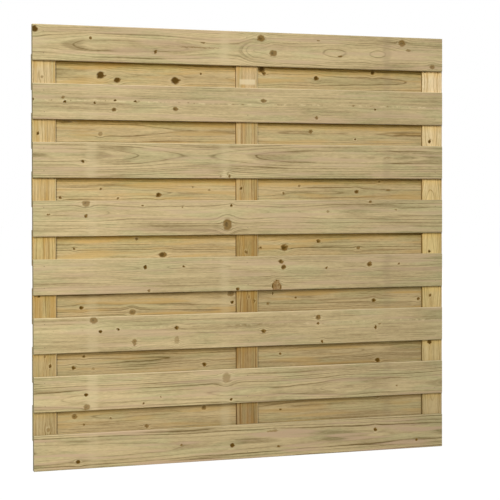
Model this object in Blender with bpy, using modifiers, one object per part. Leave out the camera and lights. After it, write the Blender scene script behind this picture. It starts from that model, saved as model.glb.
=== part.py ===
"""Privacy fence panel of pressure-treated softwood, built board by board.

Two layers of level boards are nailed to three upright battens: one layer on the
front, one on the back. The back boards cover the gaps between the front ones, so
nobody sees through the panel but the wind still finds its way between the layers.

Metres, +Z up. The front faces -Y and the panel runs along +X. The origin is in the
middle of the left batten's outer edge, where the panel meets its post.
"""

import bpy

# Size of the finished panel: the length of its boards and the length of its battens
PANEL_WIDTH = 1.800
PANEL_HEIGHT = 1.800

# Planed boards, the same stock on the front and on the back
BOARD_WIDTH = 0.145
BOARD_THICKNESS = 0.016
BOARD_ARRIS = 0.003
FRONT_GAP_WANTED = 0.090

# Upright battens between the two layers
BATTEN_WIDTH = 0.095
BATTEN_THICKNESS = 0.016
BATTEN_ARRIS = 0.0025
BATTEN_NAMES = ("left_batten", "middle_batten", "right_batten")

# The right batten stands this far past the right ends of the boards
RIGHT_BATTEN_PROUD = 0.007

# Left between faces that the nails pull together
SEAT_GAP = 0.0003

# Facets across each rounded arris
ARRIS_STEPS = 4

# Colour, roughness and metallic value of each kind of piece
FRONT_WOOD = ((0.56, 0.43, 0.22), 0.62, 0.0)
REAR_WOOD = ((0.47, 0.35, 0.16), 0.66, 0.0)
BATTEN_WOOD = ((0.60, 0.44, 0.20), 0.64, 0.0)


def clear_scene():
    for thing in list(bpy.data.objects):
        bpy.data.objects.remove(thing, do_unlink=True)


def new_collection(name):
    group = bpy.data.collections.new(name)
    bpy.context.scene.collection.children.link(group)
    return group


def wood_material(name, look):
    colour, roughness, metallic = look
    material = bpy.data.materials.new(name)
    material.use_nodes = True
    shader = material.node_tree.nodes["Principled BSDF"]
    shader.inputs["Base Color"].default_value = (*colour, 1.0)
    shader.inputs["Roughness"].default_value = roughness
    shader.inputs["Metallic"].default_value = metallic
    return material


def planed_timber(name, size, centre, grain_axis, arris, look, group):
    """One straight planed length: square-cut ends, its four long arrises rounded."""
    bpy.ops.mesh.primitive_cube_add(size=1.0, location=centre)
    timber = bpy.context.active_object
    timber.name = name
    timber.data.name = name
    timber.scale = size
    bpy.ops.object.transform_apply(location=False, rotation=False, scale=True)

    long_arris = timber.data.attributes.new("bevel_weight_edge", "FLOAT", "EDGE")
    corners = timber.data.vertices
    for edge in timber.data.edges:
        start, end = (corners[index].co for index in edge.vertices)
        runs_along = abs(end[grain_axis] - start[grain_axis]) > size[grain_axis] / 2
        long_arris.data[edge.index].value = 1.0 if runs_along else 0.0

    rounding = timber.modifiers.new("planed arris", "BEVEL")
    rounding.limit_method = "WEIGHT"
    rounding.width = arris
    rounding.segments = ARRIS_STEPS

    timber.data.materials.append(wood_material(name, look))
    for other in list(timber.users_collection):
        other.objects.unlink(timber)
    group.objects.link(timber)
    return timber


def front_board_count():
    """The whole number of boards whose gaps come nearest to the wanted gap."""
    step = BOARD_WIDTH + FRONT_GAP_WANTED
    return max(2, round((PANEL_HEIGHT + FRONT_GAP_WANTED) / step))


def front_heights():
    """Heights of the front boards' middles, top board first, both outer edges flush."""
    count = front_board_count()
    top = PANEL_HEIGHT / 2 - BOARD_WIDTH / 2
    pitch = (PANEL_HEIGHT - BOARD_WIDTH) / (count - 1)
    return [top - pitch * row for row in range(count)]


def rear_heights():
    """Each rear board hangs behind the middle of one gap of the front layer."""
    fronts = front_heights()
    return [(above + below) / 2 for above, below in zip(fronts, fronts[1:])]


def batten_middles():
    """Evenly spaced: the first flush with the boards' left ends, the last proud of their right ends."""
    first = BATTEN_WIDTH / 2
    last = PANEL_WIDTH + RIGHT_BATTEN_PROUD - BATTEN_WIDTH / 2
    spacing = (last - first) / (len(BATTEN_NAMES) - 1)
    return [first + spacing * place for place in range(len(BATTEN_NAMES))]


def add_board_layer(layer, heights, side, look, group):
    """Level boards on one side of the battens: side is -1 in front, +1 behind."""
    depth = side * (BATTEN_THICKNESS / 2 + SEAT_GAP + BOARD_THICKNESS / 2)
    size = (PANEL_WIDTH, BOARD_THICKNESS, BOARD_WIDTH)
    for number, height in enumerate(heights, start=1):
        centre = (PANEL_WIDTH / 2, depth, height)
        planed_timber(f"{layer}_board_{number}", size, centre, 0, BOARD_ARRIS, look, group)


def add_battens(group):
    size = (BATTEN_WIDTH, BATTEN_THICKNESS, PANEL_HEIGHT)
    for name, middle in zip(BATTEN_NAMES, batten_middles()):
        planed_timber(name, size, (middle, 0.0, 0.0), 2, BATTEN_ARRIS, BATTEN_WOOD, group)


clear_scene()
panel = new_collection("privacy_fence_panel")
add_board_layer("front", front_heights(), -1, FRONT_WOOD, panel)
add_board_layer("rear", rear_heights(), 1, REAR_WOOD, panel)
add_battens(panel)
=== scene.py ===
# %% [markdown]
# # A lapped fence panel, dressed as planed and pressure-treated softwood
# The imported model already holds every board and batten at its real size. This script
# gives them their looks: planed boards with eased ends and nail pits, nail heads, and
# a wood that is worked out from growth rings and knots, with no picture behind it.
# The panel is one stiff piece, so everything here rides on its one body, "root".

import math
import random
from types import SimpleNamespace

import bmesh
import bpy
from mathutils import Euler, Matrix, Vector


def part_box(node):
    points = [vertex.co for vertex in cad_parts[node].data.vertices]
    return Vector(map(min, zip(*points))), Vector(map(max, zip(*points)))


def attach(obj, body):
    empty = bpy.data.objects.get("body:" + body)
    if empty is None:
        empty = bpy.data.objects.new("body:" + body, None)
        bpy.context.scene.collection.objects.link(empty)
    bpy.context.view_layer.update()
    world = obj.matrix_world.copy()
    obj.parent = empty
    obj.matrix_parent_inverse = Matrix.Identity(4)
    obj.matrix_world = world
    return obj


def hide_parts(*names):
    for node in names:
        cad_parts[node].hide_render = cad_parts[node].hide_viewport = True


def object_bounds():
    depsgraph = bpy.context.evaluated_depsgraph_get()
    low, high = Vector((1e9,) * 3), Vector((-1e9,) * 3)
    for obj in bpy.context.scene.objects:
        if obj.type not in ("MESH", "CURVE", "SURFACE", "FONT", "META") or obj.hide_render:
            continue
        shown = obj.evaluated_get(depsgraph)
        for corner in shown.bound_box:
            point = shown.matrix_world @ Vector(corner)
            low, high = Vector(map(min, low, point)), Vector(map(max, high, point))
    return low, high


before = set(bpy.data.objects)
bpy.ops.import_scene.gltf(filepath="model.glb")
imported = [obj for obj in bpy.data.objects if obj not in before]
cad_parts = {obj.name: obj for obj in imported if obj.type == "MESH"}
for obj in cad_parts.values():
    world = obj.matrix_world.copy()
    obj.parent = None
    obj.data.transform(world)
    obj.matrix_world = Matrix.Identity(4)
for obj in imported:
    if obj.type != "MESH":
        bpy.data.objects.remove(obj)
cad_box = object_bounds()
LOWEST, HIGHEST = cad_box
MM = 0.001

print("panel", [round(edge, 4) for edge in HIGHEST - LOWEST], "m,", len(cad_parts), "timbers")

# %% [markdown]
# ## The camera
# A photograph of a known square gives the camera away: the level edges run towards one
# vanishing point, and the upright ones stay nearly parallel. Solving the view of the
# 1.8 m square gave the numbers below. The camera comes before everything else, because
# knots and marks are placed by looking along lines of sight through the picture.

# %% Stand the camera where the photographer stood
PHOTO_PIXELS = 500
FOCAL_PIXELS = 1320.6
AXIS_ABOVE_MIDDLE_PIXELS = 35.1
CAMERA_FROM_CORNER = Vector((-0.750, -5.311, 1.104))
TURN_RIGHT = math.radians(17.368)
TILT_DOWN = math.radians(0.774)
LEAN = math.radians(0.094)
SENSOR_MM = 36.0

camera_data = bpy.data.cameras.new("camera")
camera_data.sensor_width = SENSOR_MM
camera_data.lens = FOCAL_PIXELS / PHOTO_PIXELS * SENSOR_MM
camera_data.shift_y = -AXIS_ABOVE_MIDDLE_PIXELS / PHOTO_PIXELS
camera = bpy.data.objects.new("camera", camera_data)
camera.location = LOWEST + CAMERA_FROM_CORNER
camera.rotation_euler = Euler((math.pi / 2 - TILT_DOWN, LEAN, -TURN_RIGHT))
bpy.context.scene.collection.objects.link(camera)
bpy.context.scene.camera = camera


def photo_point(px, py, plane_y):
    """The point of the upright plane at plane_y that shows at a pixel, and a pixel's size there."""
    right = px - PHOTO_PIXELS / 2
    up = PHOTO_PIXELS / 2 - AXIS_ABOVE_MIDDLE_PIXELS - py
    sight = Vector((right / FOCAL_PIXELS, up / FOCAL_PIXELS, -1.0))
    sight.rotate(camera.rotation_euler)
    travel = (plane_y - camera.location.y) / sight.y
    return camera.location + sight * travel, travel / FOCAL_PIXELS


corner, pixel_size = photo_point(32, 471, LOWEST.y)
print("lens", round(camera_data.lens, 1), "mm; one pixel is", round(pixel_size / MM, 2), "mm wide")

# %% [markdown]
# ## Writing shader maths as sums
# A wood pattern is a formula, and a formula reads best as one. Signal wraps one
# socket: + - * / and ** on it add Math nodes, or Vector Math nodes where one side is a
# vector, so nothing turns grey by accident. Sheet makes every other kind of node
# through one method.

# %% A small calculator for nodes
class Signal:
    """One output socket; arithmetic on it adds the nodes that do the sum."""

    def __init__(self, sheet, socket):
        self.sheet, self.socket = sheet, socket

    def __add__(self, other):
        return self.sheet.maths("ADD", self, other)

    def __sub__(self, other):
        return self.sheet.maths("SUBTRACT", self, other)

    def __rsub__(self, other):
        return self.sheet.maths("SUBTRACT", other, self)

    def __mul__(self, other):
        return self.sheet.maths("MULTIPLY", self, other)

    def __truediv__(self, other):
        return self.sheet.maths("DIVIDE", self, other)

    def __pow__(self, other):
        return self.sheet.maths("POWER", self, other)

    def __rpow__(self, other):
        return self.sheet.maths("POWER", other, self)

    __radd__ = __add__
    __rmul__ = __mul__


class Sheet:
    """The node tree of one material, or of the sky."""

    def __init__(self, owner):
        self.owner = owner
        owner.use_nodes = True
        self.tree = owner.node_tree
        self.shader = self.tree.nodes.get("Principled BSDF")

    def add(self, kind, settings=None, inputs=None, output=0):
        """One node of any kind: settings first, then values or signals for its sockets."""
        node = self.tree.nodes.new(kind)
        for name, value in (settings or {}).items():
            setattr(node, name, value)
        for name, value in (inputs or {}).items():
            self.feed(node.inputs[name], value)
        return Signal(self, node.outputs[output])

    def feed(self, socket, value):
        """Link a signal to a socket, or set the socket's own value."""
        if isinstance(value, Signal):
            self.tree.links.new(value.socket, socket)
        elif socket.type == "VECTOR" and isinstance(value, (int, float)):
            socket.default_value = (value, value, value)
        elif socket.type == "RGBA":
            socket.default_value = (*value[:3], 1.0)
        else:
            socket.default_value = value

    def maths(self, operation, *terms):
        """Math on plain values, and Vector Math as soon as one term is a vector or a colour."""
        def is_plain(term):
            if isinstance(term, Signal):
                return term.socket.type == "VALUE"
            return not isinstance(term, tuple)

        kind = "ShaderNodeMath" if all(map(is_plain, terms)) else "ShaderNodeVectorMath"
        output = 1 if operation in ("DOT_PRODUCT", "LENGTH") else 0
        return self.add(kind, {"operation": operation}, dict(enumerate(terms)), output)

    def step(self, value, start, end, low=0.0, high=1.0):
        """From low before start to high after end, with a smooth rise; start may be the larger."""
        ends = {"From Min": start, "From Max": end, "To Min": low, "To Max": high}
        smooth = {"interpolation_type": "SMOOTHSTEP"}
        return self.add("ShaderNodeMapRange", smooth, {"Value": value, **ends})

    def cloud(self, place, detail=1.0, roughness=0.5):
        """Noise in space about 0, mostly from -0.25 to 0.25, with lumps about one unit across."""
        noise = self.add("ShaderNodeTexNoise", {"noise_dimensions": "3D"},
                         {"Vector": place, "Scale": 1.0, "Detail": detail, "Roughness": roughness})
        return noise - 0.5

    def wander(self, distance, detail=1.0):
        """Noise along a line about 0, a lump for each unit of distance."""
        noise = self.add("ShaderNodeTexNoise", {"noise_dimensions": "1D"},
                         {"W": distance, "Scale": 1.0, "Detail": detail})
        return noise - 0.5

    def mix(self, share, first, second):
        """A colour between two colours."""
        return self.add("ShaderNodeMix", {"data_type": "RGBA"}, {0: share, 6: first, 7: second}, 2)

    def vector(self, x, y, z):
        """Three numbers as one vector."""
        return self.add("ShaderNodeCombineXYZ", None, {0: x, 1: y, 2: z})

    def show(self, shader):
        """Make a shader the one that the surface or the sky shows."""
        last = next(node for node in self.tree.nodes if node.type.startswith("OUTPUT"))
        self.feed(last.inputs["Surface"], shader)

    def axes_of(self, vector):
        """The three numbers of a vector, by name."""
        split = self.add("ShaderNodeSeparateXYZ", None, {0: vector})
        return {axis: Signal(self, split.socket.node.outputs[axis.upper()]) for axis in "xyz"}


print("shader calculator ready")

# %% [markdown]
# ## Floor, sky and lamps
# The panel was photographed on plain white in soft light from the front left, a little
# above. Each front board throws a dark line with a soft edge on what lies behind it:
# full shade at the board, full light some 30 mm below. Tall soft boxes give that edge,
# and they stand far off, so that the top board gets hardly more light than the bottom
# one. The floor is pale near the panel, which lights the shade from below. To the camera
# alone, floor and sky look white, whatever they send onto the wood.

# %% Lay the floor and hang the sky
FLOOR_REACH = 80.0
FLOOR_DROP = 0.0005
FLOOR_NEAR = 0.55
FLOOR_FAR = 0.05
FLOOR_FADES = (1.9, 0.4)
FLOOR_SEEN = 0.30
FLOOR_SELF_LIT = 0.8
FLOOR_WHITE = 0.985
SKY_STRENGTH = 0.26
PANEL_MIDDLE = (LOWEST + HIGHEST) / 2


def deselect_all():
    """Clear the selection, because an operator acts on all that is selected."""
    for thing in bpy.context.selected_objects:
        thing.select_set(False)


def shown_to_lens(sheet):
    """1 on what the camera sees straight, in a reflection or through glass."""
    straight, glossy, through = (sheet.add("ShaderNodeLightPath", output=name)
                                 for name in ("Is Camera Ray", "Is Glossy Ray", "Is Transmission Ray"))
    return sheet.maths("MAXIMUM", sheet.maths("MAXIMUM", straight, glossy), through)


def make_floor():
    """A wide sheet of paper just under the panel: it keeps the shadow and looks white."""
    deselect_all()
    place = (PANEL_MIDDLE.x, PANEL_MIDDLE.y, LOWEST.z - FLOOR_DROP)
    bpy.ops.mesh.primitive_plane_add(size=FLOOR_REACH, location=place)
    floor = bpy.context.active_object
    floor.name = "studio_floor"
    sheet = Sheet(bpy.data.materials.new("studio floor"))
    seen = shown_to_lens(sheet)
    away = sheet.axes_of(sheet.add("ShaderNodeTexCoord", output="Object"))["y"]
    nearness = sheet.step(sheet.maths("ABSOLUTE", away), *FLOOR_FADES)
    bounce = sheet.mix(nearness, (FLOOR_FAR,) * 3, (FLOOR_NEAR,) * 3)
    tint = sheet.mix(seen, bounce, (FLOOR_SEEN,) * 3)
    paper = sheet.add("ShaderNodeBsdfDiffuse", None, {"Color": tint})
    white = sheet.add("ShaderNodeEmission", None, {"Strength": FLOOR_WHITE / FLOOR_SELF_LIT})
    sheet.show(sheet.add("ShaderNodeMixShader", None, {0: seen * FLOOR_SELF_LIT, 1: paper, 2: white}))
    floor.data.materials.append(sheet.owner)
    return floor


def make_sky():
    """Dim light from all round, which the camera sees as plain white."""
    world = bpy.data.worlds.new("studio")
    bpy.context.scene.world = world
    sheet = Sheet(world)
    plain = {"Color": (1.0, 1.0, 1.0)}
    dim, white = (sheet.add("ShaderNodeBackground", None, {**plain, "Strength": strength})
                  for strength in (SKY_STRENGTH, 1.0))
    sheet.show(sheet.add("ShaderNodeMixShader", None, {0: shown_to_lens(sheet), 1: dim, 2: white}))


make_floor()
make_sky()
bpy.context.scene.view_settings.view_transform = "Standard"
print("floor", FLOOR_REACH, "m across, sky at", SKY_STRENGTH)

# %% Hang the lamps
LAMP_WHITE = (1.0, 0.985, 0.96)
SOFT_BOXES = {
    "key_box": ((-4.6, -13.0, 4.5), 4.4, 6.6, 1400),
    "high_box": ((-3.6, -11.0, 6.9), 4.6, 3.2, 420),
    "rear_box": ((6.4, 13.0, 4.5), 4.4, 6.6, 1200),
}


def soft_box(name, place, width, height, watts):
    """A flat square of light that looks at the middle of the panel."""
    data = bpy.data.lights.new(name, "AREA")
    data.shape = "RECTANGLE"
    data.size, data.size_y = width, height
    data.energy = watts
    data.color = LAMP_WHITE
    lamp = bpy.data.objects.new(name, data)
    lamp.location = place
    lamp.rotation_euler = (PANEL_MIDDLE - Vector(place)).to_track_quat("-Z", "Y").to_euler()
    bpy.context.scene.collection.objects.link(lamp)
    return lamp


for name, facts in SOFT_BOXES.items():
    soft_box(name, *facts)
print(len(SOFT_BOXES), "soft boxes")

# %% [markdown]
# ## Where the knots are
# Spruce and pine boards carry the tree's branches as knots, and their places make a
# board recognisable. Each one below is named by the pixel where it shows, its radius
# in pixels, and how dark it is from 0 to 1. A last number stretches it along the
# grain: a branch that the saw cut lengthwise shows as a dash. The line of sight
# through the pixel then finds the spot on the board, in real millimetres.

# %% Knots seen from the front
KNOTS = {
    "front_board_1": (
        (34.3, 28.7, 3.0, 1.0), (90.6, 37.9, 1.4, 0.8), (155.5, 51.8, 1.5, 0.8),
        (202.5, 43.0, 0.8, 0.7, 3), (199.0, 47.6, 0.5, 0.5, 40), (261.0, 38.3, 3.3, 0.75),
        (273.2, 53.3, 3.3, 0.72), (340.1, 56.3, 0.8, 0.8, 3), (318.5, 40.5, 0.7, 0.6, 3),
        (402.0, 43.4, 3.0, 0.66, 1.2), (408.5, 50.5, 1.2, 0.55, 2.2), (432.2, 67.0, 2.2, 0.62)),
    "front_board_2": (
        (32.4, 99.2, 1.3, 1.0), (63.0, 97.3, 1.6, 0.6, 0.8), (64.9, 101.7, 1.3, 1.0),
        (94.9, 102.8, 1.2, 0.9), (115.1, 100.4, 1.0, 0.9), (114.0, 109.7, 1.9, 0.75),
        (135.5, 101.2, 1.0, 0.9), (175.4, 108.9, 2.1, 0.75, 1.3), (263.6, 100.8, 1.9, 0.7, 1.6),
        (316.6, 118.0, 1.8, 0.7, 0.9), (375.2, 109.5, 1.1, 0.9)),
    "front_board_3": (
        (82.9, 161.4, 1.6, 0.9), (220.6, 176.3, 1.1, 0.45, 0.9), (228.0, 173.6, 1.6, 0.4, 0.6),
        (229.6, 176.0, 1.6, 0.75, 0.8), (388.0, 157.9, 0.9, 0.35, 5)),
    "front_board_4": (
        (86.1, 203.3, 3.3, 0.6), (86.1, 216.0, 1.6, 0.8), (48.6, 214.4, 0.7, 0.8, 2.5),
        (142.7, 205.7, 1.0, 0.8), (183.0, 207.0, 0.8, 0.6), (231.2, 205.7, 1.3, 0.85),
        (227.4, 224.6, 5.8, 0.72, 0.72), (328.1, 211.3, 1.2, 0.5), (370.5, 201.5, 1.3, 0.7),
        (395.9, 209.7, 1.2, 0.5)),
    "front_board_5": (
        (145.4, 267.2, 1.8, 0.9), (183.7, 266.4, 1.2, 0.85), (149.0, 290.7, 1.3, 0.7),
        (237.6, 289.0, 1.6, 0.95), (281.0, 261.6, 2.2, 0.8), (283.5, 267.0, 2.1, 0.8),
        (272.9, 286.2, 3.0, 0.9, 0.36), (280.8, 286.8, 2.5, 0.75, 0.38), (276.7, 280.5, 0.8, 0.85),
        (326.5, 267.9, 1.0, 0.8), (369.6, 264.0, 2.2, 0.8), (399.0, 263.5, 0.9, 0.8)),
    "front_board_6": (
        (93.8, 320.2, 3.3, 0.65), (100.4, 331.6, 1.7, 0.95), (118.0, 329.4, 1.5, 0.9),
        (134.4, 342.5, 3.4, 0.6, 0.65), (176.7, 327.8, 1.9, 0.85), (176.7, 340.1, 3.6, 0.4, 0.65),
        (263.5, 331.2, 2.1, 0.8), (318.2, 317.3, 2.3, 0.75), (318.2, 323.3, 1.2, 0.8),
        (322.0, 341.5, 1.7, 0.85, 0.8), (375.6, 327.0, 2.2, 0.8, 0.6), (379.4, 323.8, 0.8, 0.6, 2)),
    "front_board_7": (
        (86.1, 394.8, 1.6, 0.95), (86.9, 407.0, 2.8, 0.6), (226.4, 377.6, 4.6, 0.42, 0.85),
        (143.5, 403.4, 1.0, 0.8), (160.7, 397.0, 1.0, 0.6), (231.2, 399.4, 1.2, 0.85),
        (396.7, 385.5, 0.9, 0.7)),
    "front_board_8": (
        (78.1, 462.0, 1.9, 0.95), (232.3, 445.3, 2.0, 0.95), (181.3, 445.0, 1.0, 0.7),
        (278.7, 446.1, 1.3, 0.8), (375.5, 429.4, 1.8, 0.9), (416.3, 439.7, 1.3, 0.8),
        (272.3, 431.0, 1.1, 0.5, 5)),
    "rear_board_1": (
        (100.6, 75.2, 3.3, 0.97), (104.2, 75.5, 1.1, 0.7, 1.6), (117.2, 80.0, 2.6, 0.93),
        (119.6, 79.5, 1.0, 0.7, 1.5), (175.4, 80.6, 3.5, 0.95), (178.8, 80.1, 1.2, 0.8, 1.6),
        (200.9, 73.8, 1.0, 0.8), (261.8, 69.8, 2.8, 0.85), (263.6, 73.4, 1.9, 0.8),
        (316.2, 78.3, 2.2, 0.88), (372.6, 72.9, 2.0, 0.85, 0.9)),
    "rear_board_2": (
        (100.4, 133.9, 1.9, 0.45), (66.0, 122.0, 1.0, 0.5, 6), (310.6, 131.5, 1.8, 0.7),
        (355.2, 139.5, 1.0, 0.8)),
    "rear_board_3": (
        (100.8, 188.9, 1.1, 0.7), (158.6, 194.8, 2.2, 0.85), (60.3, 197.7, 1.4, 0.8),
        (118.0, 198.2, 1.0, 0.7), (192.4, 187.3, 1.0, 0.5), (209.2, 190.1, 1.0, 0.5),
        (283.5, 193.2, 1.3, 0.7), (299.0, 186.0, 1.2, 0.6), (356.5, 191.8, 1.9, 0.8),
        (379.0, 181.8, 1.0, 0.7), (387.9, 190.2, 0.8, 0.6, 3)),
    "rear_board_4": (
        (136.3, 239.2, 1.3, 0.7), (74.1, 248.7, 1.2, 0.8), (162.6, 254.8, 2.6, 0.8, 1.5),
        (318.2, 241.1, 1.8, 0.85), (284.3, 247.5, 3.2, 0.85), (260.4, 247.9, 1.2, 0.8),
        (358.1, 248.0, 1.6, 0.7)),
    "rear_board_5": (
        (81.3, 307.7, 1.8, 0.85), (132.3, 312.2, 2.8, 0.6), (232.0, 302.3, 1.6, 0.9),
        (272.6, 293.6, 1.2, 1.0, 0.7), (230.6, 293.8, 2.8, 0.6), (268.0, 303.4, 1.3, 0.7),
        (295.4, 297.8, 1.0, 0.8), (373.6, 300.2, 1.9, 0.85), (418.2, 298.6, 1.3, 0.8)),
    "rear_board_6": (
        (84.0, 356.5, 1.2, 0.8), (73.7, 367.7, 1.9, 0.85), (93.3, 368.8, 1.4, 0.4),
        (204.4, 364.3, 2.1, 0.85), (280.3, 353.6, 1.3, 0.8), (377.6, 360.0, 2.3, 0.9)),
    "rear_board_7": (
        (74.5, 416.6, 2.3, 0.7), (84.0, 424.6, 1.0, 0.8), (111.0, 417.9, 0.9, 0.8),
        (146.4, 426.2, 1.9, 0.7), (204.0, 407.8, 2.0, 0.7), (280.3, 409.4, 0.8, 0.8, 2),
        (377.6, 395.9, 1.5, 0.4)),
    "left_batten": (
        (42.0, 76.5, 1.2, 0.5), (37.9, 133.3, 1.3, 0.9), (39.0, 296.2, 1.3, 0.8),
        (50.2, 366.1, 1.5, 0.8), (44.6, 356.8, 1.0, 0.6), (48.6, 429.4, 1.8, 0.5)),
    "middle_batten": (
        (241.0, 188.6, 1.3, 0.8), (245.9, 252.0, 1.7, 0.7), (254.2, 300.8, 1.3, 0.7),
        (249.0, 297.0, 1.0, 0.6)),
    "right_batten": (
        (424.7, 72.5, 0.8, 0.8), (429.4, 141.6, 1.4, 0.9), (429.4, 251.0, 1.3, 0.9),
        (430.2, 295.0, 1.3, 0.8), (429.4, 341.7, 2.2, 0.9)),
}
KNOT_STRETCH = 1.15


def grain_axes(node):
    """Names of the axes along and across the grain of a timber."""
    return ("z", "x") if node.endswith("batten") else ("x", "z")


def on_timber(node, px, py):
    """Where a pixel meets the front of a timber, in mm along and across, and mm in a pixel."""
    low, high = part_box(node)
    point, pixel = photo_point(px, py, low.y)
    offset = (point - (low + high) / 2) / MM
    along, across = grain_axes(node)
    return getattr(offset, along), getattr(offset, across), pixel / MM


def knots_of(node):
    """Knots as (along, across, radius, darkness, stretch), in mm from the timber's middle."""
    spots = []
    for px, py, radius, darkness, *stretch in KNOTS[node]:
        along, across, pixel = on_timber(node, px, py)
        stretch = stretch[0] if stretch else KNOT_STRETCH
        spots.append((along, across, radius * pixel, darkness, stretch))
    return spots


print(sum(len(spots) for spots in KNOTS.values()), "knots on", len(KNOTS), "timbers")

# %% [markdown]
# ## Which part of the trunk each timber is
# Where the pith ran decides the pattern on a board. Far below the face, the rings are
# cut at a slant and show as wide arches. Close to the face, they stand on edge and show
# as fine straight lines. Each entry names one pixel on the middle line of the arches,
# how deep the pith lies and how wide the rings are. An arch points right where the pith
# goes deeper, and left where it comes up. Swells and falls say where it does so, as
# (pixel, half length in pixels, change of depth in mm). The tone tints the timber from
# its left or lower end to the other: partly its own tone, partly painted light, lighter
# to the upper left and darker to the lower right. The other words, each with a plain
# value that holds where an entry leaves it out, say by how many mm in a metre the pith
# drops away (taper), how crooked the trunk grew (drift), how alike and how dark its
# rings are (even, lines), and how strongly the pith, rosy heartwood, green salt, the
# painted highlight on the upper edge and the painted warm shade show (pith, warm, green,
# edge, painted_shade).

# %% The trunk behind each timber
TRUNKS = {
    "front_board_1": dict(heart=(62, 44), depth=101.5, ring=4.4, drift=0.06, even=0.5,
        falls=((70, 24, -6), (246, 10, -9)),
        swells=((222, 45, 5), (335, 17, -3.1), (378, 12, -3.1)), tone=(1.1, 1.0)),
    "front_board_2": dict(heart=(60, 100.2), depth=5, ring=4.0, taper=2, lines=0.6, pith=0.65,
        edge=1.0, tone=(1.06, 1.0)),
    "front_board_3": dict(heart=(200, 156), depth=84.1, ring=5.2, drift=0.06, even=0.9, lines=1.0,
        swells=((199, 66, 11),), edge=1.0, tone=(1.06, 0.97)),
    "front_board_4": dict(heart=(120, 213), depth=58, ring=4.6, taper=-4, drift=0.12,
        falls=((112, 22, 5),), swells=((285, 40, 4),), tone=(1.1, 0.93)),
    "front_board_5": dict(heart=(130, 268), depth=40, ring=4.2, taper=4, lines=0.8,
        tone=(1.04, 0.88)),
    "front_board_6": dict(heart=(340, 322), depth=5, ring=4.2, taper=3, lines=0.6, pith=0.4,
        edge=0.9, tone=(1.08, 0.89)),
    "front_board_7": dict(heart=(300, 389), depth=74, ring=5.0, taper=-8, swells=((345, 22, -4),),
        edge=0.9, tone=(1.07, 0.8)),
    "front_board_8": dict(heart=(375, 434), depth=90, ring=7.0, taper=8, lines=1.2, warm=0.9,
        tone=(0.96, 0.75)),
    "rear_board_1": dict(heart=(75, 74), depth=64, ring=4.6, taper=6, tone=(1.16, 0.94)),
    "rear_board_2": dict(heart=(165, 131), depth=56, ring=5.0, drift=0.1, falls=((150, 28, 6),),
        tone=(1.05, 0.93)),
    "rear_board_3": dict(heart=(95, 193), depth=50, ring=4.6, taper=7, tone=(1.12, 0.94)),
    "rear_board_4": dict(heart=(300, 262), depth=46, ring=4.6, taper=4, tone=(1.24, 0.9)),
    "rear_board_5": dict(heart=(100, 300), depth=76, ring=5.5, taper=-7, warm=0.8, painted_shade=0.45,
        tone=(1.01, 0.82)),
    "rear_board_6": dict(heart=(320, 352), depth=40, ring=4.6, taper=6, drift=0.5, painted_shade=0.6,
        tone=(0.91, 0.76)),
    "rear_board_7": dict(heart=(220, 410), depth=46, ring=4.6, taper=-4, lines=0.8, painted_shade=0.5,
        tone=(0.93, 0.73)),
    "left_batten": dict(heart=(40, 230), depth=44, ring=4.6, taper=5,
        tone=((0.71, 0.73, 0.73), (1.02, 0.98, 0.83), (1.16, 1.23, 1.38))),
    "middle_batten": dict(heart=(238, 230), depth=34, ring=4.8, taper=-6, lines=1.2,
        tone=((0.56, 0.52, 0.5), (0.77, 0.7, 0.52), (1.2, 1.23, 1.38))),
    "right_batten": dict(heart=(431, 230), depth=70, ring=5.0, taper=8, drift=1.0, green=0.2,
        warm=0.2, tone=((0.65, 0.66, 0.68), (1.13, 1.16, 1.02), (1.53, 1.62, 2.0))),
}
# edge sets the painted highlight on the upper edge, and the last word the painted warm shade under the
# front boards
TRUNK_DEFAULTS = dict(taper=0.0, swells=(), falls=(), drift=0.28, even=0.0, lines=0.9,
                      pith=0.0, warm=0.55, green=0.7, edge=0.5, painted_shade=1.0)


def trunk_of(node):
    """The trunk facts of one timber, with a seed of its own."""
    draw = random.Random("trunk of " + node)
    trunk = dict(TRUNK_DEFAULTS, seed=draw.uniform(0.0, 400.0))
    trunk.update(TRUNKS[node])
    return trunk


print(len(TRUNKS), "trunks")

# %% [markdown]
# ## Softwood from the inside out
# A board is a slice of a trunk. If the shader knows where the pith ran, the distance
# from it counts the growth rings, and the same rings then show as long arches on the
# faces, as straight lines near the edges and as arcs on the sawn ends. Knots push the
# grain aside, so the lines flow round them. That is why the pattern is worked out in
# the trunk's own measure and not painted on. The wood is uneven in many sizes at once,
# so the first cell lists every noise with its lumps in mm: along the grain, across it
# and into the wood. A shift of the seed keeps them apart, and detail and roughness say
# how fine they are.

# %% Lumps in the wood
LUMPS = {
    "ragged": ((12, 9, 9), 0.0, 1.0, 0.5),
    "wobble": ((120, 26, 26), 0.0, 1.0, 0.5),
    "streak": ((170, 4.5, 5.5), 0.0, 2.0, 0.6),
    "fleck": ((26, 3.6, 6), 0.0, 2.0, 0.6),
    "fibre": ((14, 0.9, 0.9), 0.0, 1.0, 0.5),
    "thread": ((380, 7, 60), 17.0, 1.0, 0.5),
    "salt": ((240, 40, 60), 7.0, 1.0, 0.5),
    "blush": ((300, 20, 60), 31.0, 1.0, 0.5),
    "broad": ((420, 38, 60), 53.0, 1.0, 0.5),
}


def lumps(sheet, name, seed, along, across, depth):
    """One of the noises above at a place in the wood, about 0."""
    sizes, shift, detail, roughness = LUMPS[name]
    place = sheet.vector(along / sizes[0], across / sizes[1], depth / sizes[2])
    return sheet.cloud(place + (seed + shift), detail, roughness)


print(len(LUMPS), "kinds of lumps")

# %% Knots in the shader
KNOT_WOOD = (0.215, 0.122, 0.026)
KNOT_CORE = (0.098, 0.050, 0.004)
KNOT_EDGE = (1.6, 0.6)
KNOT_GAIN = 1.2
CORE_SIZE = 0.85
CORE_SHIFT = 0.22
PULL_REACH = 5.0
PULL_SHARE = 0.85
FAR_AWAY = 99.0


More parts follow.
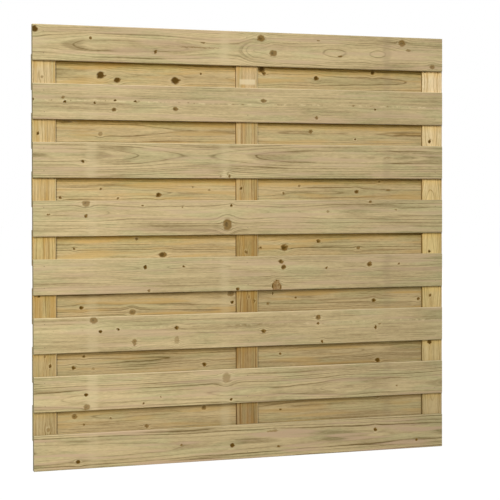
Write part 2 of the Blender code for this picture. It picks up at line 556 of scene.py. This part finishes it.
def from_spot(sheet, plan, along, across, half_length, half_width):
    """The way from a spot to each point of the plan, in half lengths and half widths."""
    return sheet.maths("MULTIPLY_ADD", plan, (1 / half_length, 1 / half_width, 0.0),
                       (-along / half_length, -across / half_width, 0.0))


def grow_knots(sheet, plan, spots):
    """All knots of a timber: push across, darkness, and how far the nearest knot and core are."""
    push, dark, nearest, core = (0.0, 0.0, 0.0), 0.0, FAR_AWAY, FAR_AWAY
    for along, across, radius, darkness, stretch in spots:
        long_radius = radius * stretch
        offset = from_spot(sheet, plan, along, across, long_radius, radius)
        reach = sheet.maths("DOT_PRODUCT", offset, offset)
        core_size = CORE_SIZE * darkness ** 3
        core_at = from_spot(sheet, plan, along - CORE_SHIFT * long_radius, across,
                            core_size * long_radius, core_size * radius)
        core = sheet.maths("MINIMUM", sheet.maths("DOT_PRODUCT", core_at, core_at), core)
        bend = sheet.add("ShaderNodeVectorMath", {"operation": "SCALE"},
                         {0: offset, "Scale": math.exp(-1 / PULL_REACH) ** reach})
        push = sheet.maths("MULTIPLY_ADD", bend, (0.0, radius * PULL_SHARE, 0.0), push)
        darkest = min(1.0, KNOT_GAIN * darkness)
        dark = sheet.maths("MAXIMUM", sheet.step(reach, *KNOT_EDGE, 0.0, darkest), dark)
        nearest = sheet.maths("MINIMUM", reach, nearest)
    return sheet.axes_of(push)["y"], dark, sheet.maths("SQRT", nearest), core


print("a knot bends the grain out to", round(PULL_REACH ** 0.5, 1), "of its radii")

# %% The way to the pith
RING_DRIFT = 26.0
DRIFT_LUMP = 420.0
RING_SWAY = 34.0
SWAY_LUMP = 650.0
SWAY_SHIFT = 50.0
RING_WOBBLE = 2.2
MM_IN_METRE = 1000


def pixels_along(node, trunk, place, half_length):
    """A place along the grain and a half length, from pixels to mm."""
    upright = grain_axes(node)[0] == "z"
    pixel_at = (trunk["heart"][0], place) if upright else (place, trunk["heart"][1])
    middle, unused, pixel = on_timber(node, *pixel_at)
    return middle, half_length * pixel


def trunk_radius(sheet, node, trunk, along, across, depth):
    """Distance from the pith in mm, crooked as the trunk was, and the part of it across."""
    heart_across = on_timber(node, *trunk["heart"])[1]
    seed = trunk["seed"]
    deep = sheet.maths("MULTIPLY_ADD", along, trunk["taper"] / MM_IN_METRE, trunk["depth"])
    for place, half_length, change in trunk["swells"]:
        middle, half = pixels_along(node, trunk, place, half_length)
        swell_along = sheet.maths("MULTIPLY_ADD", along, 1 / half, -middle / half)
        bump = math.exp(-1) ** (swell_along * swell_along)
        deep = sheet.maths("MULTIPLY_ADD", bump, change, deep)
    for place, half_length, change in trunk["falls"]:
        middle, half = pixels_along(node, trunk, place, half_length)
        deep = deep + sheet.step(along, middle - half, middle + half, 0.0, change)
    deep = deep + sheet.wander(along / DRIFT_LUMP + seed) * (RING_DRIFT * trunk["drift"])
    sway = sheet.wander(along / SWAY_LUMP + (seed + SWAY_SHIFT)) * (RING_SWAY * trunk["drift"])
    wobble = lumps(sheet, "wobble", seed, along, across, depth) * RING_WOBBLE
    out = across - heart_across - sway
    inward = depth + deep
    return (out * out + inward * inward) ** 0.5 + wobble, out


print("rings wobble by up to", RING_WOBBLE / 4, "mm")

# %% Lines of the rings
RING_LUMP = 13.0
LATE_WOOD = 0.6
LATE_HALF = 0.07
LATE_SPREAD = 0.24
EARLY_FADE = (0.1, 0.6)
EARLY_SHARE = 0.2
RING_END = (1.0, 0.9)
FAINTEST = (0.3, 0.35)
UNEVEN = 0.8


def ring_lines(sheet, trunk, radius, out):
    """How dark the rings are: each ends in a thin line of late wood, also where it is cut aslant."""
    rings = radius / trunk["ring"] + sheet.wander(radius / RING_LUMP + trunk["seed"])
    tooth = sheet.maths("FRACT", rings)
    half = sheet.maths("ABSOLUTE", out) / radius * LATE_SPREAD + LATE_HALF
    late = sheet.step(sheet.maths("ABSOLUTE", tooth - LATE_WOOD) / half, 1.0, 0.0)
    late = late + sheet.step(tooth, *EARLY_FADE) * EARLY_SHARE
    luck = sheet.add("ShaderNodeTexWhiteNoise", {"noise_dimensions": "1D"},
                     {"W": sheet.maths("FLOOR", rings)})
    even = trunk["even"]
    strength = luck * luck * (UNEVEN * (1 - even)) + (FAINTEST[0] + FAINTEST[1] * even)
    return late * sheet.step(tooth, *RING_END) * strength


print("late wood lies", LATE_WOOD, "of the way through a ring")

# %% [markdown]
# ## Colours of treated spruce
# Pressure treatment leaves a green salt in the wood, strongest where it soaked in from
# the ends, and fresh spruce shows rosy heartwood beside pale sapwood. There are three
# stocks: front boards, rear boards and battens. Each has a pale colour between the
# lines, a colour of the lines and a warm one, and masks move one towards another. A
# tint multiplies what is there.

# %% Colours
PALE = {"front": (0.655, 0.520, 0.280), "rear": (0.650, 0.500, 0.258), "batten": (0.690, 0.530, 0.275)}
LINE = {"front": (0.170, 0.112, 0.036), "rear": (0.170, 0.106, 0.030), "batten": (0.270, 0.150, 0.036)}
WARM = {"front": (0.580, 0.418, 0.262), "rear": (0.570, 0.380, 0.140), "batten": (0.520, 0.320, 0.090)}
FLARE = (0.740, 0.610, 0.350)
SAWN_END = (0.360, 0.345, 0.210)
# painted highlight on the upper rounded edges, where they catch the light
PAINTED_EDGE_HIGHLIGHT = (0.900, 0.760, 0.470)
SALT_TINT = (0.89, 0.98, 0.95)
# painted shade on the sides of the battens, deep in the recess between the boards
BATTEN_SIDE_PAINTED_SHADE = (0.50, 0.46, 0.36)
SALT_EDGE = (-0.03, 0.13)
SALT_SOAKED = 110.0
SALT_AT_ENDS = 0.4
SALT_RAGGED = 300.0
BLUSH_EDGE = (0.0, 0.18)


def family_of(node):
    """Which stock a timber is: front, rear or batten."""
    return "batten" if node.endswith("batten") else node.split("_")[0]


def salt_and_heartwood(sheet, trunk, family, spot, wood):
    """Green salt in clouds and towards the ends, and patches of rosy heartwood."""
    cloud = lumps(sheet, "salt", trunk["seed"], spot.along, spot.across, spot.depth)
    from_end = spot.half_length - sheet.maths("ABSOLUTE", spot.along)
    salt = sheet.step(cloud, *SALT_EDGE, 0.0, trunk["green"])
    salt = salt + sheet.step(from_end + cloud * SALT_RAGGED, SALT_SOAKED, 0, 0.0, SALT_AT_ENDS)
    wood = sheet.mix(salt, wood, wood * SALT_TINT)
    blush = lumps(sheet, "blush", trunk["seed"], spot.along, spot.across, spot.depth)
    return sheet.mix(sheet.step(blush, *BLUSH_EDGE, 0.0, trunk["warm"]), wood, WARM[family])


print("stocks:", ", ".join(PALE))

# %% [markdown]
# ## Marks from the yard
# The boards bear faint bands across the grain, where the sticks of the drying stack
# kept them apart. Each stick is given by a pixel column, its width in mm, and whether
# it left a pale band or a dark one, and the table says how strong each of the three is
# on each board. One board also shows the red-brown stain of a branch that left it
# sideways, and two timbers have a paler block: one beside a knot, one at the foot of the
# top gap on the middle batten. A soft-edged mask does for each.

# %% Bands from the drying stack
STICK_PALE = (0.660, 0.540, 0.310)
STICK_DARK = (0.360, 0.270, 0.150)
STICK_RAGGED = 22.0
STICK_LUMP = 30.0
STICK_EDGE = (0.8, 0.2)
STICK_SHARE = 0.7
STICKS = ((92, 44, 1), (225, 40, 1), (387, 34, -1))
STICK_MARKS = {
    "front_board_1": (0.1, 0.5, 0.5), "front_board_2": (0.2, 0.0, 0.1), "front_board_3": (0.5, 0.4, 0.4),
    "front_board_4": (0.3, 0.1, 0.1), "front_board_5": (0.1, 0.5, 0.4), "front_board_6": (0.4, 0.1, 0.1),
    "front_board_7": (0.7, 0.3, 0.2), "front_board_8": (0.3, 0.1, 0.1), "rear_board_1": (0.2, 0.1, 0.4),
    "rear_board_5": (0.4, 0.4, 0.3), "rear_board_6": (0.1, 0.1, 0.0), "rear_board_7": (0.1, 0.6, 0.4),
}


def stick_bands(sheet, node, spot, seed, wood):
    """Pale or dark bands across the grain where the sticks of the drying stack lay."""
    for (px, width, kind), strength in zip(STICKS, STICK_MARKS.get(node, ())):
        if strength == 0:
            continue
        middle = on_timber(node, px, PHOTO_PIXELS / 2)[0]
        ragged = sheet.wander(spot.across / STICK_LUMP + (seed + px)) * STICK_RAGGED
        away = sheet.maths("ABSOLUTE", spot.along - middle + ragged)
        start, full = (width * share for share in STICK_EDGE)
        band = sheet.step(away, start, full, 0.0, strength * STICK_SHARE)
        wood = sheet.mix(band, wood, STICK_PALE if kind > 0 else STICK_DARK)
    return wood


print(len(STICK_MARKS), "boards bear the bands of", len(STICKS), "sticks")

# %% Pale patches and a branch stain
PATCH_EDGE = 4.0
PALE_PATCHES = {
    "middle_batten": (247.5, 82.0, 11.0, 34.0, 0.75), "front_board_3": (224.6, 173.6, 6.0, 16.0, 0.32)}
STAINS = {"front_board_5": (276.9, 287.0, 19.0, 31.0)}
STAIN_TINT = (0.60, 0.47, 0.33)
STAIN_EDGE = (1.3, 0.7)
STRAND_LUMPS = (4.0, 40.0)
STRAND_SHARE = 3.0
STAIN_SHARE = 0.9


def pale_patch(sheet, node, spot, wood):
    """A paler block: a pixel, half its length and half its width in mm, and its strength."""
    if node not in PALE_PATCHES:
        return wood
    px, py, half_along, half_across, strength = PALE_PATCHES[node]
    middle_along, middle_across = on_timber(node, px, py)[:2]
    off_along = sheet.maths("ABSOLUTE", spot.along - middle_along)
    off_across = sheet.maths("ABSOLUTE", spot.across - middle_across)
    inside = sheet.step(off_along, half_along + PATCH_EDGE, half_along - PATCH_EDGE)
    inside = inside * sheet.step(off_across, half_across + PATCH_EDGE, half_across - PATCH_EDGE)
    return sheet.mix(inside * strength, wood, FLARE)


def branch_stain(sheet, node, spot, seed, wood):
    """A red-brown stain where a branch left the board sideways, streaked across the grain."""
    if node not in STAINS:
        return wood
    px, py, half_along, half_across = STAINS[node]
    middle_along, middle_across = on_timber(node, px, py)[:2]
    offset = from_spot(sheet, spot.plan, middle_along, middle_across, half_along, half_across)
    inside = sheet.step(sheet.maths("DOT_PRODUCT", offset, offset), *STAIN_EDGE)
    strand_at = sheet.maths("MULTIPLY", spot.plan, (1 / STRAND_LUMPS[0], 1 / STRAND_LUMPS[1], 0.0))
    strand = sheet.cloud(strand_at + seed) * STRAND_SHARE
    return sheet.mix(inside * (strand + STAIN_SHARE), wood, wood * STAIN_TINT)


print(len(PALE_PATCHES), "pale patches,", len(STAINS), "stain")

# %% [markdown]
# ## Painted shade and tone
# Wood right behind a front board, or just under one, gets a painted warm shade: a darker,
# warmer colour that stands for the shadow of the board above and for light bounced warm
# between the boards. The front boards hang at an even pitch, so the part of a pitch that
# a point lies below the last board tells where the painted shade goes. Last, two or three
# tones spread evenly along every timber tint the whole: partly its own tone, a little
# lighter or darker than its neighbour and often at one end, and partly painted light,
# lighter towards the upper left and darker towards the lower right.

# %% Painted shade and tone
# painted shade: a darker, warmer tint under and behind each front board, in its shadow
PAINTED_SHADE_TINT = {"rear": (1.02, 0.88, 0.44), "batten": (1.02, 0.94, 0.70)}
PAINTED_SHADE_REACH = (40, -5)
PAINTED_SHADE_END = 8
PAINTED_SHADE_RAGGED = 12.0
FRONT_SIDE = (7.5, 5.0)


def painted_shade_by_front_boards(sheet, height):
    """1 on wood behind and just under a front board, where the painted shade goes."""
    (low, high), (next_low, unused) = (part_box(node) for node in ("front_board_1", "front_board_2"))
    first = low.z / MM
    pitch = (low.z - next_low.z) / MM
    gap = pitch - (high.z - low.z) / MM
    below = sheet.maths("FRACT", (first - height) * (1 / pitch)) * pitch
    return sheet.step(below, *PAINTED_SHADE_REACH) + sheet.step(below, gap, gap + PAINTED_SHADE_END)


def painted_warm_shade(sheet, trunk, family, spot, wood):
    """The painted warm shade of the front boards, on the side of the wood that they cover."""
    if family not in PAINTED_SHADE_TINT:
        return wood
    # the painted shade under and behind each front board
    mask = painted_shade_by_front_boards(sheet, spot.height + spot.ragged * PAINTED_SHADE_RAGGED)
    mask = mask * sheet.step(spot.depth, *FRONT_SIDE, 0.0, trunk["painted_shade"])
    return sheet.mix(mask, wood, wood * PAINTED_SHADE_TINT[family])


def tones_with_painted_light(sheet, tones, position):
    """The tones of a timber, evenly spaced along it, as one blended colour: its own tone and painted
    light.
    """
    blend, *others = (tone if isinstance(tone, tuple) else (tone,) * 3 for tone in tones)
    for number, tone in enumerate(others):
        blend = sheet.mix(position * len(others) - number, blend, tone)
    return blend


print("sheltered:", ", ".join(PAINTED_SHADE_TINT))

# %% [markdown]
# ## One material for each timber
# Now it comes together from the inside out: clean wood with its rings, then salt and
# heartwood, the marks from the yard, painted warm shade and tone with painted light, and
# last the pith and the knots. Boards that were sawn close to the pith show it as a row
# of pale and dark dashes. Sawn ends get a colour of their own by the way they face; the
# sides of the battens get a painted shade the same way, and the rounded top edges a
# painted highlight by their place. Late wood also stands a little proud after planing,
# which a faint bump shows.

# %% Places in a timber
RAGGED_BY = (12.0, 9.0)


def places_in(sheet, node, seed):
    """Where a point lies in its timber, in mm from the middle and named by the grain."""
    low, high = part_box(node)
    middle = (low + high) / 2
    place = (sheet.add("ShaderNodeTexCoord", output="Object") - tuple(middle)) * (1 / MM)
    parts = sheet.axes_of(place)
    along_axis, across_axis = grain_axes(node)
    spot = SimpleNamespace(along=parts[along_axis], across=parts[across_axis], depth=parts["y"])
    spot.height = parts["z"] + middle.z / MM
    spot.half_length, spot.half_width, spot.half_depth = (
        getattr(high - low, axis) / 2 / MM for axis in (along_axis, across_axis, "y"))
    spot.ragged = lumps(sheet, "ragged", seed, spot.along, spot.across, spot.depth)
    spot.plan = sheet.vector(spot.along + spot.ragged * RAGGED_BY[0],
                             spot.across + spot.ragged * RAGGED_BY[1], 0.0)
    return spot


print("outlines are ragged by up to", RAGGED_BY[0] / 4, "mm")

# %% Pith, ends and edges
PITH_HALF = (4.0, 0.5)
PITH_RAGGED = 12.0
DASH_LUMP = 30.0
DASH_FINE = (3.0, 0.7)
PALE_DASH = (-0.02, 0.12)
DARK_DASH = (-0.09, -0.16)
FACES_END = (0.7, 0.95)
FACES_SIDE = (0.75, 0.97)
EASED = 3.2


def pith_dashes(sheet, trunk, spot, out, wood):
    """Pale and dark dashes along the pith of a board that was sawn close to it."""
    if not trunk["pith"]:
        return wood
    away = sheet.maths("ABSOLUTE", out + spot.ragged * PITH_RAGGED)
    near_pith = sheet.step(away, *PITH_HALF, 0.0, trunk["pith"])
    dash = sheet.cloud(sheet.vector(spot.along / DASH_LUMP, 0.0, 0.0) + trunk["seed"], *DASH_FINE)
    wood = sheet.mix(near_pith * sheet.step(dash, *PALE_DASH), wood, FLARE)
    return sheet.mix(near_pith * sheet.step(dash, *DARK_DASH), wood, KNOT_WOOD)


def ends_and_edges(sheet, node, spot, wood, end_grain):
    """Colour of sawn ends, painted shade on the sides of the battens, and 1 on the ends."""
    along_axis, across_axis = grain_axes(node)
    facing = sheet.axes_of(sheet.add("ShaderNodeNewGeometry", output="Normal"))
    is_end = sheet.step(sheet.maths("ABSOLUTE", facing[along_axis]), *FACES_END)
    if family_of(node) == "batten":
        is_side = sheet.step(sheet.maths("ABSOLUTE", facing[across_axis]), *FACES_SIDE)
        # painted shade on the batten's sides
        wood = sheet.mix(is_side, wood, wood * BATTEN_SIDE_PAINTED_SHADE)
    return sheet.mix(is_end, wood, end_grain), is_end


def painted_arris_highlight(sheet, spot, strength, wood):
    """A painted highlight on the upper rounded edge of a board, and on the right one of a batten."""
    full = EASED / 3
    arris = sheet.step(spot.across, spot.half_width - EASED, spot.half_width - full)
    off_middle = sheet.maths("ABSOLUTE", spot.depth)
    arris = arris * sheet.step(off_middle, spot.half_depth - EASED, spot.half_depth - full)
    return sheet.mix(arris * strength, wood, PAINTED_EDGE_HIGHLIGHT)


print("edges are pale over", EASED, "mm")

# %% The wood of one timber
RING_DARK = 0.66
THREAD_EDGE = (0.07, 0.17)
THREAD_DARK = 0.30
STREAK_DARK = 0.6
FLECK_DARK = 0.62
FIBRE_DARK = 0.4
BROAD_DARK = 0.65
DARK_ALL_OVER = 0.17
END_RING_DARK = 0.5
FLARE_REACH = (2.4, 1.3)
FLARE_STREAKS = 3.0
FLARE_LEAST = 0.1
CORE_EDGE = (0.6, 2.6)
CORE_RAGGED = 3.0
RELIEF = {"late": 0.6, "fibre": 0.5, "streak": 0.3, "knot": 0.8}
BUMP_STRENGTH = 0.6
BUMP_DEPTH = 0.4 * MM
ROUGH = 0.66
LATE_SMOOTHER = -0.12
END_ROUGHER = 0.15
SHINE = 0.12


def softwood(node):
    """The material of one timber."""
    trunk, family = trunk_of(node), family_of(node)
    seed = trunk["seed"]
    sheet = Sheet(bpy.data.materials.new("softwood " + node))
    spot = places_in(sheet, node, seed)
    pushed, dark, knot_distance, core = grow_knots(sheet, spot.plan, knots_of(node))
    flow = spot.across - pushed
    radius, out = trunk_radius(sheet, node, trunk, spot.along, flow, spot.depth)

    late = ring_lines(sheet, trunk, radius, out)
    thread = lumps(sheet, "thread", seed, spot.along, radius, spot.depth)
    streak = lumps(sheet, "streak", seed, spot.along, flow, spot.depth)
    fleck = lumps(sheet, "fleck", seed, spot.along, spot.across, spot.depth)
    fibre = lumps(sheet, "fibre", 0.0, spot.along, spot.across, spot.depth)
    broad = lumps(sheet, "broad", seed, spot.along, spot.across, spot.depth)
    drawn = late * RING_DARK + sheet.step(thread, *THREAD_EDGE, 0.0, THREAD_DARK)
    shade = drawn * trunk["lines"] + streak * STREAK_DARK + fleck * FLECK_DARK
    shade = shade + fibre * FIBRE_DARK + broad * BROAD_DARK + DARK_ALL_OVER

    wood = sheet.mix(shade, PALE[family], LINE[family])
    wood = salt_and_heartwood(sheet, trunk, family, spot, wood)
    wood = stick_bands(sheet, node, spot, seed, wood)
    wood = pale_patch(sheet, node, spot, wood)
    # painted warm shade under and behind the front boards
    wood = painted_warm_shade(sheet, trunk, family, spot, wood)
    # its own tone, and painted light: lighter to the upper left, darker to the lower right
    wood = wood * tones_with_painted_light(sheet, trunk["tone"], spot.along * (0.5 / spot.half_length) + 0.5)
    wood = pith_dashes(sheet, trunk, spot, out, wood)
    flare = sheet.step(knot_distance, *FLARE_REACH) * (streak * FLARE_STREAKS - FLARE_LEAST)
    wood = sheet.mix(flare, wood, FLARE)
    wood = branch_stain(sheet, node, spot, seed, wood)
    knot = sheet.mix(sheet.step(core + spot.ragged * CORE_RAGGED, *CORE_EDGE), KNOT_CORE, KNOT_WOOD)
    wood = sheet.mix(dark, wood, knot)
    end_grain = sheet.mix(late * END_RING_DARK + fibre * FIBRE_DARK, SAWN_END, LINE[family])
    wood, is_end = ends_and_edges(sheet, node, spot, wood, end_grain)
    # painted highlight on the upper rounded edge
    wood = painted_arris_highlight(sheet, spot, trunk["edge"], wood)

    relief = late * RELIEF["late"] + fibre * RELIEF["fibre"] + streak * RELIEF["streak"]
    relief = relief - dark * RELIEF["knot"]
    bump = sheet.add("ShaderNodeBump", None,
                     {"Strength": BUMP_STRENGTH, "Distance": BUMP_DEPTH, "Height": relief})
    sheet.feed(sheet.shader.inputs["Base Color"], wood)
    sheet.feed(sheet.shader.inputs["Roughness"], late * LATE_SMOOTHER + is_end * END_ROUGHER + ROUGH)
    sheet.feed(sheet.shader.inputs["Normal"], bump)
    sheet.shader.inputs["Specular IOR Level"].default_value = SHINE
    return sheet.owner


print("roughness of a board", ROUGH)

# %% [markdown]
# ## Planed boards and battens
# A planed fencing board is a bar with rounded long edges and square-cut ends. A cube
# at the timber's own size, with its four long edges bevelled, is the shape; a very
# small bevel eases the sawn ends, and a narrow border cut into each flat face keeps
# the shading flat right up to the rounding.

# %% Bevel one timber out of a block
ARRIS_STEPS = 6
END_EASE = 0.6 * MM
END_STEPS = 2
BORDER = 0.7 * MM
BROAD_FACE = 0.01
TOUCHING = 0.00001
SMOOTH_UNDER = math.radians(28)
ARRIS = {"front": 4.0 * MM, "rear": 4.0 * MM, "batten": 2.5 * MM}


def pick(timber, kind, wanted):
    """In edit mode, select the edges or faces that pass a test, and nothing else."""
    bpy.ops.mesh.select_mode(type=kind)
    bpy.ops.mesh.select_all(action="DESELECT")
    body = bmesh.from_edit_mesh(timber.data)
    for part in (body.edges if kind == "EDGE" else body.faces):
        part.select_set(bool(wanted(part)))
    bmesh.update_edit_mesh(timber.data)


def planed_timber(node):
    """A timber of the node's own size and place, with rounded arrises."""
    low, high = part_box(node)
    grain = "xyz".index(grain_axes(node)[0])
    length = (high - low)[grain]
    deselect_all()
    bpy.ops.mesh.primitive_cube_add(size=1.0, location=(low + high) / 2, scale=high - low)
    timber = bpy.context.active_object
    timber.name = "planed_" + node
    bpy.ops.object.transform_apply(location=True, rotation=True, scale=True)

    def runs_along(edge):
        start, end = (corner.co[grain] for corner in edge.verts)
        return abs(end - start) > length / 2

    def rims_an_end(edge):
        ends = [corner.co[grain] for corner in edge.verts]
        return any(all(abs(end - stop) < TOUCHING for end in ends) for stop in (low[grain], high[grain]))

    bpy.ops.object.mode_set(mode="EDIT")
    pick(timber, "EDGE", runs_along)
    bpy.ops.mesh.bevel(offset=ARRIS[family_of(node)], segments=ARRIS_STEPS, affect="EDGES")
    pick(timber, "EDGE", rims_an_end)
    bpy.ops.mesh.bevel(offset=END_EASE, segments=END_STEPS, affect="EDGES")
    pick(timber, "FACE", lambda face: face.calc_area() > BROAD_FACE)
    bpy.ops.mesh.inset(thickness=BORDER, use_individual=True)
    bpy.ops.object.mode_set(mode="OBJECT")
    return timber


timbers = {node: planed_timber(node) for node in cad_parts}
print(len(timbers), "timbers,", sum(len(timber.data.polygons) for timber in timbers.values()), "faces")

# %% [markdown]
# ## Nails
# Two nails at each crossing hold a board to a batten: from the front for the front
# boards, from the back for the rear ones. A nail gun drives them a touch below the
# surface. So each board gets shallow pits first, cut with small tapered plugs, and a
# head of 4.6 mm then sits in each pit.

# %% Where the nails go
NAIL_OFF_MIDDLE = 45 * MM
NAIL_SCATTER = 2.5 * MM
NAIL_COLUMNS = (44 * MM, 900 * MM, 1766 * MM)
HEAD_RADIUS = 2.3 * MM
HEAD_THICK = 0.8 * MM
HEAD_SUNK = 0.2 * MM
PIT_RADIUS = 2.5 * MM
PIT_DEPTH = 0.7 * MM
PIT_TAPER = 0.15
ROUND_SIDES = 20


def nail_points(node):
    """Six spots on the outer face of a board, a little scattered as a hand places them."""
    draw = random.Random("nails of " + node)
    low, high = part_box(node)
    face = low.y if node.startswith("front") else high.y
    points = []
    for column in NAIL_COLUMNS:
        for side in (1, -1):
            across = (low.z + high.z) / 2 + side * NAIL_OFF_MIDDLE + draw.uniform(-1, 1) * NAIL_SCATTER
            points.append(Vector((column + draw.uniform(-1, 1) * NAIL_SCATTER, face, across)))
    return points


def facing_out(node):
    """The way a board's nailed face looks along y, and the turn that points +Z that way."""
    side = -1 if node.startswith("front") else 1
    return side, Euler((-side * math.pi / 2, 0, 0))


def cut_pits(node):
    """Sink a shallow pit for each nail with one Boolean cut."""
    deselect_all()
    turn = facing_out(node)[1]
    plugs = []
    for point in nail_points(node):
        bpy.ops.mesh.primitive_cone_add(
            vertices=ROUND_SIDES, radius1=PIT_RADIUS * (1 - PIT_TAPER),
            radius2=PIT_RADIUS * (1 + PIT_TAPER), depth=2 * PIT_DEPTH, location=point, rotation=turn)
        plugs.append(bpy.context.active_object)
    for plug in plugs:
        plug.select_set(True)
    bpy.ops.object.join()
    cutter = bpy.context.active_object
    deselect_all()
    timber = timbers[node]
    bpy.context.view_layer.objects.active = timber
    timber.select_set(True)
    cut = timber.modifiers.new("nail pits", "BOOLEAN")
    cut.object = cutter
    bpy.ops.object.modifier_apply(modifier=cut.name)
    bpy.data.objects.remove(cutter, do_unlink=True)


boards = [node for node in timbers if family_of(node) != "batten"]
for node in boards:
    cut_pits(node)
print(sum(len(nail_points(node)) for node in boards), "nail pits")

# %% Nail heads
RIM_WIDTH = 0.12
RIM_RISE = 0.12
DISH_WIDTH = 0.45
DISH_DROP = 0.1
DRIVEN_DEEPER = 0.25 * MM
HEAD_LEAN = 0.04


def one_head():
    """A round flat head, its rim eased and its top faintly dished."""
    deselect_all()
    bpy.ops.mesh.primitive_cylinder_add(vertices=ROUND_SIDES, radius=HEAD_RADIUS, depth=HEAD_THICK)
    head = bpy.context.active_object
    bpy.ops.object.mode_set(mode="EDIT")
    pick(head, "FACE", lambda face: face.normal.z > 0.9)
    bpy.ops.mesh.inset(thickness=HEAD_RADIUS * RIM_WIDTH)
    bpy.ops.transform.translate(value=(0, 0, HEAD_THICK * RIM_RISE))
    bpy.ops.mesh.inset(thickness=HEAD_RADIUS * DISH_WIDTH)
    bpy.ops.transform.translate(value=(0, 0, -HEAD_THICK * DISH_DROP))
    bpy.ops.object.mode_set(mode="OBJECT")
    return head


def nail_heads(layer):
    """All heads of one layer as one piece."""
    draw = random.Random("heads of " + layer)
    first = one_head()
    heads = []
    for node in boards:
        if family_of(node) != layer:
            continue
        side, turn = facing_out(node)
        for point in nail_points(node):
            head = first.copy()
            head.data = first.data.copy()
            bpy.context.scene.collection.objects.link(head)
            sunk = HEAD_SUNK + HEAD_THICK / 2 + draw.uniform(0, DRIVEN_DEEPER)
            tip = (draw.uniform(-HEAD_LEAN, HEAD_LEAN), draw.uniform(-HEAD_LEAN, HEAD_LEAN))
            lean = Euler((*tip, draw.uniform(0, math.tau)))
            head.location = point - Vector((0, side * sunk, 0))
            head.rotation_euler = (turn.to_matrix() @ lean.to_matrix()).to_euler()
            heads.append(head)
    bpy.data.objects.remove(first, do_unlink=True)
    deselect_all()
    for head in heads:
        head.select_set(True)
    bpy.context.view_layer.objects.active = heads[0]
    bpy.ops.object.join()
    piece = bpy.context.active_object
    piece.name = layer + "_nail_heads"
    bpy.ops.object.transform_apply(location=True, rotation=True, scale=True)
    bpy.ops.object.shade_smooth_by_angle(angle=SMOOTH_UNDER)
    return piece


TARNISHED = (0.26, 0.19, 0.09)
BARE_STEEL = (0.46, 0.36, 0.20)
TARNISH_PER_METRE = 900.0
HEADS_PER_METRE = 9.0
STEEL_ROUGH = 0.55
STEEL_METALLIC = 0.6


def nail_steel():
    """Dull zinc that the treatment salts have darkened."""
    sheet = Sheet(bpy.data.materials.new("nail steel"))
    place = sheet.add("ShaderNodeTexCoord", output="Object")
    tarnish = sheet.cloud(place * TARNISH_PER_METRE, 2.0)
    each = sheet.cloud(place * HEADS_PER_METRE)
    sheet.feed(sheet.shader.inputs["Base Color"],
               sheet.mix(tarnish * 1.2 + each + 0.5, TARNISHED, BARE_STEEL))
    sheet.feed(sheet.shader.inputs["Roughness"], tarnish * 0.4 + STEEL_ROUGH)
    sheet.shader.inputs["Metallic"].default_value = STEEL_METALLIC
    return sheet.owner


steel = nail_steel()
for layer in ("front", "rear"):
    heads = nail_heads(layer)
    heads.data.materials.clear()
    heads.data.materials.append(steel)
    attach(heads, "root")
    print(heads.name, len(heads.data.polygons), "faces")

# %% [markdown]
# ## Dress the timbers
# Every timber gets a material of its own, because each is a slice of another trunk.
# The planed piece stands for the CAD node, which stays hidden for the collisions.

# %% Wood on every timber
for node, timber in timbers.items():
    deselect_all()
    bpy.context.view_layer.objects.active = timber
    timber.select_set(True)
    bpy.ops.object.shade_smooth_by_angle(angle=SMOOTH_UNDER)
    timber.data.materials.clear()
    timber.data.materials.append(softwood(node))
    family_of(node) + "_wood"
    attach(timber, "root")
    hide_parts(node)
print(len(timbers), "timbers dressed")
